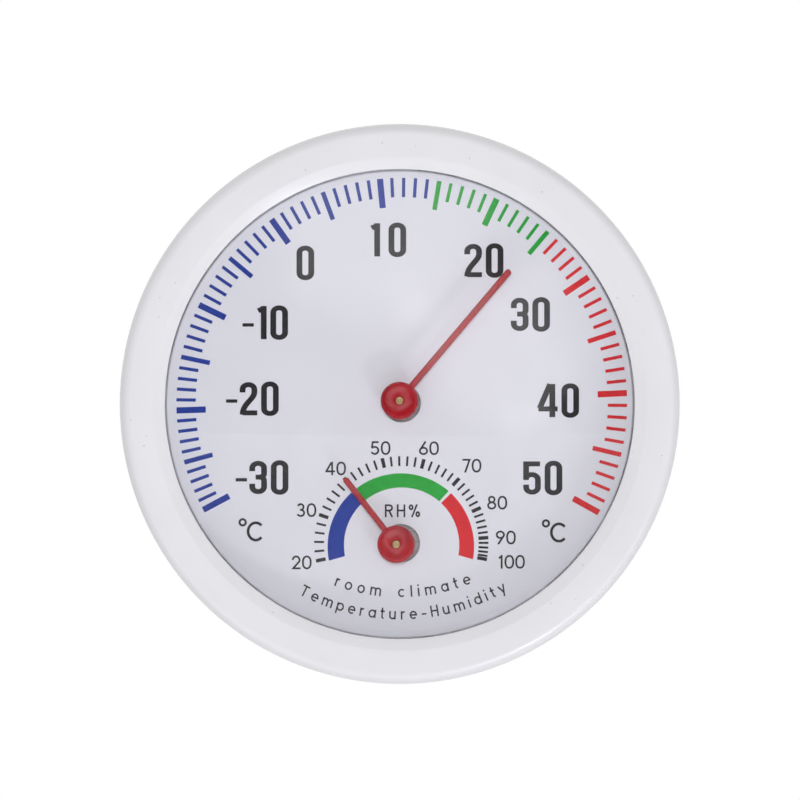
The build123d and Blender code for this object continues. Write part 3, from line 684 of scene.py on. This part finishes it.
def turned_brass(name, axis):
    """Turned brass: fine rings round its axis and a touch of tarnish."""
    look = Look(name, 0.28, metallic=0.85)
    look.colours(look.ramp(look.noise(0.7, 4.0), 0.4, 0.75), (0.86, 0.63, 0.33), (0.66, 0.45, 0.21))
    marks = look.rings(axis, 0.035)
    look.roughness(marks, 0.2, 0.36)
    look.bump(marks, 0.006)
    return look.material


def zinc_steel():
    """Pressed steel with bright zinc plating: rolled grain along x and a faint bluish bloom."""
    look = Look("zinc_plated_steel", 0.33, metallic=0.65)
    look.broken_edges(0.06)
    look.colours(look.ramp(look.noise(2.2, 4.0), 0.35, 0.7), (0.78, 0.78, 0.79), (0.66, 0.68, 0.71))
    grain = look.noise(0.08, 3.0, stretch=(0.06, 1.0, 1.0))
    look.roughness(grain, 0.26, 0.44)
    look.bump(grain, 0.004)
    return look.material


def spiral_strip(name, tint, shade, metallic, roughness):
    """One side of a coil's strip, rolled along its length."""
    look = Look(name, roughness, metallic=metallic)
    look.colours(look.ramp(look.noise(1.4, 4.0), 0.35, 0.7), tint, shade)
    grain = look.noise(0.07, 2.0, stretch=(0.15, 1.0, 0.15))
    look.roughness(grain, roughness - 0.07, roughness + 0.09)
    look.bump(grain, 0.003)
    return look.material


def rivet_aluminium():
    """Soft aluminium, upset with a punch: dull with small dents."""
    look = Look("aluminium_rivet", 0.4, metallic=1.0)
    look.colours(look.ramp(look.noise(0.4, 4.0), 0.35, 0.7), (0.80, 0.81, 0.82), (0.62, 0.63, 0.64))
    look.bump(look.noise(0.3, 3.0), 0.01)
    return look.material


def clear_lens():
    """Clear moulded plastic, a little worn. What lights the dial passes it straight and unbent."""
    look = Look("clear_lens", 0.03, ior=1.49)
    look.set("Transmission Weight", 1.0)
    look.set("Base Color", (0.985, 0.985, 0.99))
    look.set("Roughness", look.ramp(look.noise(0.7, 6.0, 0.7), 0.35, 0.75, 0.01, 0.05))
    look.bump(look.noise(5.0, 1.0), 0.006)
    clear = look.add("BsdfTransparent", {"Color": (0.96, 0.96, 0.96)})["BSDF"]
    path = look.add("LightPath", {})
    lighting = look.calculate("ADD", path["Is Shadow Ray"], path["Diffuse Depth"])
    surface = look.add("MixShader", {"Fac": lighting, 1: look.shader.outputs["BSDF"], 2: clear})["Shader"]
    look.feed(look.nodes["Material Output"].inputs["Surface"], surface)
    return look.material


# ---- case, lens and dial

def bezel():
    """White ring: rounded shoulder, a front that leans in a little and a bevel down to the lens."""
    inner = BEZEL_INNER_RADIUS
    edge = BEZEL_FOOT_ROUND
    crown = (BEZEL_SHOULDER_RADIUS + BEZEL_BEVEL_RADIUS) / 2
    round_start = BEZEL_FRONT - BEZEL_ROUND_DEPTH
    shoulder = (CASE_RADIUS - BEZEL_SHOULDER_RADIUS, BEZEL_ROUND_DEPTH - BEZEL_LEAN)
    outline = [(inner + edge, BEZEL_FOOT)]
    outline += arc((CASE_RADIUS - edge, BEZEL_FOOT + edge), (edge, edge), -90, 0, 6)
    outline += [(CASE_RADIUS, (BEZEL_FOOT + round_start) / 2)]
    outline += arc((BEZEL_SHOULDER_RADIUS, round_start), shoulder, 0, 90, 16)
    outline += [(crown, (BEZEL_FRONT + BEZEL_BEVEL_TOP) / 2 + BEZEL_CROWN_RISE)]
    outline += soften([(crown, BEZEL_FRONT, 0), (BEZEL_BEVEL_RADIUS, BEZEL_BEVEL_TOP, BEZEL_BEVEL_ROUND),
                       (BEZEL_OPENING_RADIUS, BEZEL_BEVEL_FOOT, BEZEL_LIP_ROUND),
                       (BEZEL_OPENING_RADIUS, BEZEL_SEAT, 0)])[1:]
    low, high = BEZEL_GROOVE
    outline += [(inner, BEZEL_SEAT), (inner, high + BEZEL_GROOVE_SLOPE), (inner + BEZEL_GROOVE_DEPTH, high),
                (inner + BEZEL_GROOVE_DEPTH, low), (inner, low - BEZEL_GROOVE_SLOPE),
                (inner, BEZEL_FOOT + edge)]
    return lathe("bezel", outline)


def dome_arc(thickness, reach, steps=40):
    """The dome's section at a depth under its outside, from the middle out to a radius."""
    centre = LENS_TOP - DOME_BALL
    ball = DOME_BALL - thickness
    full = math.asin(reach / ball)
    return [(ball * math.sin(full * step / steps), centre + ball * math.cos(full * step / steps))
            for step in range(steps + 1)]


def domed_lens():
    """Clear dome with a flange under the bezel and a skirt that stands on the dial."""
    outer = dome_arc(0, LENS_DOME_RADIUS)
    inner = dome_arc(LENS_THICKNESS, LENS_SKIRT[0])
    rim = [(LENS_DOME_RADIUS, LENS_FLANGE[1]), (LENS_FLANGE_RADIUS, LENS_FLANGE[1]),
           (LENS_FLANGE_RADIUS, LENS_FLANGE[0]), (LENS_SKIRT[1], LENS_FLANGE[0]),
           (LENS_SKIRT[1], DIAL_FRONT), (LENS_SKIRT[0], DIAL_FRONT)]
    return lathe("domed_lens", outer + rim + inner[::-1])


def dial_rim():
    """The disc's outline with its locating notch at the bottom."""
    width, depth = DIAL_NOTCH
    half = math.degrees(math.asin(width / 2 / DIAL_RADIUS))
    rim = arc((0, 0), (DIAL_RADIUS, DIAL_RADIUS), -90 + half, 270 - half, 360)
    return rim + [(-width / 2, -DIAL_RADIUS + depth), (width / 2, -DIAL_RADIUS + depth)]


def in_hole(patch):
    """Whether a three-cornered patch lies in one of the dial's holes."""
    middle = sum((Vector(point) for point in patch), Vector((0, 0))) / 3
    return any((middle - Vector(centre)).length <= DIAL_HOLE_RADIUS for centre in DIAL_HOLES)


def dial_face():
    """The coated disc with its two holes and its notch."""
    places = []
    edges = []
    for outline in [dial_rim()] + [circle(centre, DIAL_HOLE_RADIUS) for centre in DIAL_HOLES]:
        start = len(places)
        edges += [(start + i, start + (i + 1) % len(outline)) for i in range(len(outline))]
        places += [Vector(point) for point in outline]
    verts, _, triangles, _, _, _ = delaunay_2d_cdt(places, edges, [], 1, 1e-5)
    patches = [[tuple(verts[i]) for i in triangle] for triangle in triangles]
    return raised("dial_face", [[patch for patch in patches if not in_hole(patch)]], DIAL_BACK, DIAL_FRONT)


# ---- print

def thermo_angle(value):
    """Where a temperature stands on the scale: the printed divisions narrow a little upwards."""
    u = (value - 10) / 40
    return 95.56 - 120.61 * u - 5.95 * u ** 2 + 1.97 * u ** 3


def hygro_angle(value):
    """Where a humidity stands on the scale: the printed divisions close up above 80 %."""
    u = (value - 60) / 40
    return 74.87 - 109.11 * u + 9.89 * u ** 2 + 7.88 * u ** 3 + 5.73 * u ** 4


def tick(centre, angle, inner, outer, width):
    """One radial mark as a flat patch."""
    a = math.radians(angle)
    way = (math.cos(a), math.sin(a))
    side = (-way[1] * width / 2, way[0] * width / 2)
    return [(centre[0] + way[0] * r + side[0] * s, centre[1] + way[1] * r + side[1] * s)
            for r, s in ((inner, -1), (outer, -1), (outer, 1), (inner, 1))]


def ticks(values, centre, angle_of, inner, outer, width):
    """The marks of a scale, one group each, sized by the largest step that a value is a multiple of."""
    groups = []
    for value in values:
        step = max(step for step in width if value % step == 0)
        groups.append([tick(centre, angle_of(value), inner[step], outer, width[step])])
    return groups


def thermo_ticks(low, high):
    """The temperature marks between two values."""
    return ticks(range(low, high + 1), THERMO_SCALE_CENTRE, thermo_angle, THERMO_TICK_INNER,
                 THERMO_TICK_OUTER, THERMO_TICK_WIDTH)


def hygro_ticks():
    """The humidity marks, one for every 2 %."""
    return ticks(range(20, 101, 2), HYGRO_SCALE_CENTRE, hygro_angle, HYGRO_TICK_INNER, HYGRO_TICK_OUTER,
                 HYGRO_TICK_WIDTH)


def band(start, end):
    """A stretch of the coloured comfort band as a strip of patches."""
    steps = int(abs(end - start) / 1.5)
    outer = arc(BAND_OUTER[0], (BAND_OUTER[1],) * 2, start, end, steps)
    inner = arc(BAND_INNER[0], (BAND_INNER[1],) * 2, start, end, steps)
    return [[[inner[i], outer[i], outer[i + 1], inner[i + 1]] for i in range(steps)]]


def thermo_numerals():
    """The bold temperature figures, with a bar before those below zero."""
    groups = []
    for value, centre in THERMO_LABELS.items():
        text = str(abs(value))
        spacing = BOLD_WIDE_GAPS.get(value, BOLD_GAP) / BOLD_HEIGHT / BOLD_STRETCH
        groups += upright(text, BOLD, BOLD_PEN, BOLD_HEIGHT, spacing, centre, BOLD_STRETCH)
        if value < 0:
            length, thickness, gap, rise = MINUS
            half = text_width(text, BOLD, spacing) * BOLD_HEIGHT * BOLD_STRETCH / 2
            right = centre[0] - half - gap
            y = centre[1] + rise
            groups.append(stroke([(right - length, y), (right, y)], thickness))
    return groups


def thin_text():
    """The humidity figures and both units."""
    groups = []
    for value, centre in HYGRO_LABELS.items():
        groups += upright(str(value), THIN, THIN_PEN, HYGRO_LABEL_HEIGHT, HYGRO_LABEL_GAP, centre)
    groups += upright("RH%", THIN, THIN_PEN, UNIT_HEIGHT, UNIT_GAP, UNIT_CENTRE)
    for centre in CELSIUS_CENTRES:
        groups += upright("C", THIN, THIN_PEN, CELSIUS_HEIGHT, 0, centre)
        x, y, radius = CELSIUS_RING
        spot = circle((centre[0] + x, centre[1] + y), radius, 32)
        groups.append(stroke(spot, CELSIUS_RING_PEN, closed=True))
    return groups


def words():
    """Two lines of plain words round the bottom of the dial."""
    groups = []
    for text, radius, height, gap in WORDS:
        groups += along_arc(text, THIN, THIN_PEN, height, gap, radius, WORDS_SHIFT)
    return groups


# ---- pointers and spindles

def hub(movement):
    """A pointer's hub: a thick washer with a rounded edge."""
    shape = bmesh.new()
    foot, rim, mouth = HUB_ROUNDS
    corners = [(HUB_RADIUS, HUB_BACK, foot), (HUB_RADIUS, HUB_FRONT, rim), (SPINDLE_RADIUS, HUB_FRONT, mouth)]
    lathe_into(shape, [(SPINDLE_RADIUS, HUB_BACK)] + soften(corners, 8), segments=128)
    return new_piece(movement + "_pointer_moulding", shape)


def blade(length, width):
    """A slim needle with a round tip and a broken top edge, along x."""
    shape = bmesh.new()
    loops = []
    for inset, depth in NEEDLE_SECTION:
        half = width / 2 - inset
        tip = arc((length - width / 2, 0), (half, half), -90, 90, 12)
        outline = [(NEEDLE_ROOT, -half)] + tip + [(NEEDLE_ROOT, half)]
        loops.append([shape.verts.new(stand(x, y, depth)) for x, y in outline])
    for low, high in zip(loops, loops[1:]):
        for i in range(len(low)):
            j = (i + 1) % len(low)
            shape.faces.new([low[i], low[j], high[j], high[i]])
    shape.faces.new(loops[0])
    shape.faces.new(loops[-1])
    return new_piece("blade", shape)


def pointer(movement):
    """A hub and its needle, moulded in one and turned to the reading."""
    length, width, angle = NEEDLE[movement]
    piece = hub(movement)
    arm = blade(length, width)
    join = piece.modifiers.new("join", "BOOLEAN")
    join.operation = "UNION"
    join.solver = "EXACT"
    join.object = arm
    settle(piece)
    bpy.data.objects.remove(arm)
    turn = Matrix.Translation(stand(*AXIS[movement], 0)) @ Matrix.Rotation(math.radians(-angle), 4, "Y")
    piece.data.transform(turn)
    return piece


def settle(piece):
    """Replaces a piece's mesh by what its modifiers make of it."""
    bpy.context.view_layer.update()
    result = piece.evaluated_get(bpy.context.evaluated_depsgraph_get())
    mesh = bpy.data.meshes.new_from_object(result)
    piece.modifiers.clear()
    piece.data = mesh
    mesh.set_sharp_from_angle(angle=math.radians(POINTER_SHARP_ABOVE))


def spindle_pin(movement):
    """A turned pin with a chamfered foot and a crowned tip with a centre mark."""
    foot, tip = depths(movement + "_spindle")
    mark_radius, mark_depth = SPINDLE_MARK
    corners = [(SPINDLE_RADIUS, foot, SPINDLE_CHAMFER), (SPINDLE_RADIUS, tip, SPINDLE_TIP_ROUND),
               (mark_radius, tip, 0.05)]
    outline = [(0, foot)] + soften(corners, 6) + [(0, tip - mark_depth)]
    return lathe(movement + "_pin", outline, AXIS[movement], segments=64)


# ---- coils

def coil_points(inner, outer, turns, per_turn=72):
    """The spiral strip's centre line from its inner tail to its anchored tail."""
    points = [(-COIL_ROOT, 0), (-inner + COIL_BEND, 0)]
    points += arc((-inner + COIL_BEND, -COIL_BEND), (COIL_BEND, COIL_BEND), 90, 180, 6)[1:]
    growth = (outer - inner) / (2 * turns)
    x = -inner
    for half_turn in range(2 * turns):
        reach = inner + growth * (half_turn + 1)
        x_next = reach if half_turn % 2 == 0 else -reach
        middle = ((x + x_next) / 2, -COIL_BEND)
        radius = abs(x_next - x) / 2
        start = 180 if half_turn % 2 == 0 else 0
        points += arc(middle, (radius, radius), start, start + 180, per_turn // 2)[1:]
        x = x_next
    points.append((x, -COIL_BEND - COIL_TAIL))
    return [Vector(point) for point in points]


def coil_shares(path):
    """How much of a pointer's turn each point of a coil takes: all at its inner tail, none at its outer."""
    lengths = [0.0]
    for a, b in zip(path, path[1:]):
        lengths.append(lengths[-1] + (b - a).length)
    start = lengths[1]
    total = lengths[-1] - COIL_TAIL - start
    return [1 - min(1.0, max(0.0, (length - start) / total)) for length in lengths]


def coil_section(low, high, thickness):
    """The strip's section with broken edges, as (side, depth) where sides run from 1 to -1."""
    flat = 1 - 2 * COIL_EDGE / thickness
    return [(1, low + COIL_EDGE), (1, high - COIL_EDGE), (flat, high), (0, high), (-flat, high),
            (-1, high - COIL_EDGE), (-1, low + COIL_EDGE), (-flat, low), (0, low), (flat, low)]


def coil_mesh(movement, axis, path, section, thickness):
    """The strip along its path, one material on each side, and each point's share of the winding."""
    shape = bmesh.new()
    share_layer = shape.verts.layers.float.new("winding")
    rings = []
    for index, (point, share) in enumerate(zip(path, coil_shares(path))):
        way = (path[min(index + 1, len(path) - 1)] - path[max(index - 1, 0)]).normalized()
        out = Vector((-way.y, way.x))
        rings.append([])
        for side, depth in section:
            place = point + out * side * thickness / 2
            vert = shape.verts.new(stand(axis[0] + place.x, axis[1] + place.y, depth))
            vert[share_layer] = share
            rings[-1].append(vert)
    count = len(section)
    for here, there in zip(rings, rings[1:]):
        for i in range(count):
            face = shape.faces.new([here[i], here[(i + 1) % count], there[(i + 1) % count], there[i]])
            face.material_index = 0 if section[i][0] + section[(i + 1) % count][0] > 0 else 1
    shape.faces.new(rings[0])
    shape.faces.new(rings[-1])
    return new_piece(movement + "_spiral", shape)


def coil_strip(movement, bodies, sides):
    """A two-layer spiral strip that winds with its pointer, even along its whole length."""
    inner, outer, turns, thickness = COIL[movement]
    axis = AXIS[movement]
    low, high = depths(movement + "_coil")
    path = coil_points(inner, outer, turns)
    piece = coil_mesh(movement, axis, path, coil_section(low, high, thickness), thickness)
    for material in sides:
        piece.data.materials.append(material)
    attributes = piece.data.attributes
    shares = [item.value for item in attributes["winding"].data]
    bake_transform(piece, bodies[0], bodies[1], start=stand(axis[0] - outer, axis[1], low),
             end=stand(axis[0], axis[1], low))
    attributes["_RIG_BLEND"].data.foreach_set("value", shares)
    attributes.remove(attributes["winding"])
    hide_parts(movement + "_coil")


# ---- stage

def paper_floor():
    """A plain pale floor well below the dial. Its glow shows to the camera only."""
    half, depth = FLOOR_HALF, FLOOR_DEPTH
    corners = [(-half, -half, depth), (half, -half, depth), (half, half, depth), (-half, half, depth)]
    mesh = bpy.data.meshes.new("floor")
    mesh.from_pydata(corners, [], [(0, 1, 2, 3)])
    floor = bpy.data.objects.new("floor", mesh)
    bpy.context.scene.collection.objects.link(floor)
    look = Look("floor_paper", 0.9)
    look.colours(look.noise(60.0, 2.0), (0.86, 0.86, 0.86), (0.88, 0.88, 0.88))
    look.set("Emission Color", (1, 1, 1))
    path = look.add("LightPath", {})
    look.set("Emission Strength", look.calculate("MULTIPLY", path["Is Camera Ray"], FLOOR_GLOW))
    mesh.materials.append(look.material)
    floor.visible_glossy = False


def tilted(right, up, angle):
    """The direction at an angle from the reader's, leaning to a side of the dial."""
    side = Vector((right, 0, up)).normalized() * math.sin(angle)
    return side + Vector((0, -math.cos(angle), 0))


def mirrored(x, y):
    """The direction that the dome mirrors at a point of the dial as one reads it."""
    return tilted(x, y, 2 * math.asin(math.hypot(x, y) / DOME_BALL))


def soft_lamp(name, towards, distance, size, power, colour, glossy):
    """A round soft box aimed at the dial from a direction given as (right, up, off-axis angle)."""
    right, up, off = towards
    place = tilted(right, up, math.radians(off)) * distance
    data = bpy.data.lights.new(name, "AREA")
    data.shape = "DISK"
    data.size = size
    data.energy = power
    data.color = colour
    lamp = bpy.data.objects.new(name, data)
    lamp.location = place
    lamp.rotation_mode = "QUATERNION"
    lamp.rotation_quaternion = place.to_track_quat("Z", "Y")
    lamp.visible_camera = False
    lamp.visible_transmission = False
    lamp.visible_glossy = glossy
    bpy.context.scene.collection.objects.link(lamp)


class Room(Nodes):
    """A white room: seen white, lighting the dial evenly, and mirrored dark but for soft cards."""

    def __init__(self):
        world = bpy.data.worlds.new("white_room")
        bpy.context.scene.world = world
        world.use_nodes = True
        super().__init__(world.node_tree)
        self.place = self.add("TexCoord", {})["Generated"]

    def wavering(self):
        """A direction pushed about a little, so that no card has a drawn edge."""
        push = self.add("TexNoise", {"Vector": self.place, "Scale": ROOM_WAVER_SCALE})["Color"]
        pushed = self.vector("MULTIPLY_ADD", push, (ROOM_WAVER,) * 3, self.place)["Vector"]
        return self.vector("SUBTRACT", pushed, (ROOM_WAVER / 2,) * 3)["Vector"]

    def cone(self, place, direction, edge, middle, inside, outside=0.0):
        """A value inside a cone round a direction, fading from its middle angle to its edge angle."""
        facing = self.vector("DOT_PRODUCT", place, direction)["Value"]
        low, high = math.cos(math.radians(edge)), math.cos(math.radians(middle))
        return self.ramp(facing, low, high, outside, inside)

    def mirror_level(self, place, under_lens):
        """How bright the room is where gloss mirrors it, with one more lamp for gloss under the lens."""
        level = self.cone(place, TOWARDS_READER, *MIRROR_CONE, MIRROR_FRONT, MIRROR_SIDE)
        for x, y, *card in MIRROR_CARDS:
            level = self.calculate("ADD", level, self.cone(place, mirrored(x, y), *card))
        x, y, *lamp = SMALL_LAMP
        lamp = self.cone(self.place, mirrored(x, y), *lamp)
        return self.calculate("ADD", level, self.calculate("MULTIPLY", under_lens, lamp))

    def light(self):
        """Sets the room's strength and colour for each kind of ray."""
        place = self.wavering()
        level = self.cone(place, TOWARDS_READER, *ROOM_FRONT_CONE, ROOM_FRONT, ROOM_REAR)
        path = self.add("LightPath", {})
        undiffused = self.calculate("LESS_THAN", path["Diffuse Depth"], 0.5)
        bounced = self.calculate("GREATER_THAN", path["Glossy Depth"], 0.5)
        in_mirror = self.calculate("MULTIPLY", undiffused, bounced)
        looking = self.calculate("MAXIMUM", path["Is Camera Ray"], path["Is Transmission Ray"])
        seen = self.calculate("MULTIPLY", looking, self.calculate("SUBTRACT", undiffused, in_mirror))
        under_lens = self.calculate("GREATER_THAN", path["Transmission Depth"], 2.5)
        level = self.mix(in_mirror, level, self.mirror_level(place, under_lens), "FLOAT")
        back = self.nodes["Background"].inputs
        self.feed(back["Color"], self.mix(seen, ROOM_COLOUR, (1, 1, 1)))
        self.feed(back["Strength"], self.mix(seen, level, 1.0, "FLOAT"))


def camera():
    """A long lens square to the dial, with a little more room above than below."""
    data = bpy.data.cameras.new("camera")
    view = bpy.data.objects.new("camera", data)
    data.sensor_width = SENSOR_WIDTH
    data.lens = SENSOR_WIDTH * VIEW_DISTANCE / VIEW_WIDTH
    view.location = stand(*VIEW_CENTRE, BEZEL_FRONT - BEZEL_ROUND_DEPTH + VIEW_DISTANCE)
    view.rotation_euler = (math.pi / 2, 0, 0)
    data.clip_end = 10
    bpy.context.scene.collection.objects.link(view)
    bpy.context.scene.camera = view


# ---- assembly

def finish_with(piece, node, material, body):
    """Hides the CAD node that a new piece stands for, and gives the piece its material and the body it rides
    on.
    """
    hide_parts(node)
    piece.data.materials.append(material)
    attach(piece, body)


def dress(material, *nodes):
    """Gives CAD nodes a material."""
    for node in nodes:
        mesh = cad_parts[node].data
        mesh.materials.clear()
        mesh.materials.append(material)


def build_case():
    """The bezel, the case, the lens and the dial."""
    white = moulded_white("white_gloss_plastic", (0.835, 0.832, 0.855), (0.815, 0.812, 0.836), 0.24, 0.25)
    finish_with(bezel(), "bezel_ring", white, "case")
    case = moulded_white("white_case_plastic", (0.86, 0.86, 0.87), (0.84, 0.84, 0.85), 0.38, 0.12)
    dress(case, "case_ring", "back_cover")
    finish_with(domed_lens(), "lens", clear_lens(), "case")
    finish_with(dial_face(), "dial_plate", dial_coat(), "case")


def build_print():
    """Everything printed on the dial."""
    black = screen_ink("black", (0.012, 0.011, 0.014), (0.02, 0.018, 0.022))
    inks = {"blue": screen_ink("blue", (0.012, 0.04, 0.32), (0.016, 0.05, 0.36)),
            "green": screen_ink("green", (0.014, 0.38, 0.035), (0.022, 0.44, 0.055)),
            "red": screen_ink("red", (0.80, 0.022, 0.03), (0.72, 0.018, 0.026))}
    for name, (low, high) in THERMO_COLOUR_LIMITS.items():
        ink("thermo_ticks_" + name, thermo_ticks(low, high), inks[name])
    for name, (start, end) in BAND_LIMITS.items():
        ink("hygro_band_" + name, band(start, end), inks[name])
    ink("hygro_ticks", hygro_ticks(), black)
    ink("thermo_numerals", thermo_numerals(), black)
    ink("hygro_numerals", thin_text(), black)
    ink("words", words(), black)


def build_movements():
    """The pointers, spindles and coils, and the materials of the movements' CAD solids."""
    red = pointer_red()
    for movement in AXIS:
        finish_with(pointer(movement), movement + "_pointer", red, movement + "_needle")
    for movement, rear_bearing in (("thermo", "_rear_bush"), ("hygro", "_adjuster")):
        brass = turned_brass("brass_" + movement, AXIS[movement])
        finish_with(spindle_pin(movement), movement + "_spindle", brass, movement + "_needle")
        dress(brass, movement + "_front_bush", movement + rear_bearing, movement + "_collar")
    dress(zinc_steel(), "thermo_bracket", "hygro_bracket", "hygro_adjuster_arm", "thermo_screws",
          "hygro_screws", "cover_screws")
    dress(rivet_aluminium(), "thermo_coil_rivet", "hygro_coil_rivet")
    bimetal = [spiral_strip("bimetal_brass_side", (0.62, 0.44, 0.24), (0.50, 0.34, 0.18), 1.0, 0.34),
               spiral_strip("bimetal_steel_side", (0.50, 0.50, 0.50), (0.38, 0.38, 0.39), 1.0, 0.34)]
    film = [spiral_strip("humidity_film_side", (0.46, 0.33, 0.19), (0.36, 0.25, 0.14), 0.0, 0.55),
            spiral_strip("humidity_metal_side", (0.55, 0.50, 0.42), (0.44, 0.40, 0.34), 1.0, 0.38)]
    coil_strip("thermo", ("case", "thermo_needle"), bimetal)
    coil_strip("hygro", ("hygro_zero", "hygro_needle"), film)


def build_stage():
    """The floor, the room's light, two soft boxes and the camera."""
    paper_floor()
    Room().light()
    soft_lamp("key_box", towards=(0.42, -0.91, 62), distance=0.6, size=0.19, power=2.6,
              colour=(0.97, 0.98, 1.08), glossy=True)
    soft_lamp("front_box", towards=(0, 1, 4), distance=1.0, size=0.18, power=4.0, colour=(1, 1, 1.02),
              glossy=False)
    camera()


build_case()
build_print()
build_movements()
build_stage()

bpy.context.scene.view_settings.view_transform = "Standard"
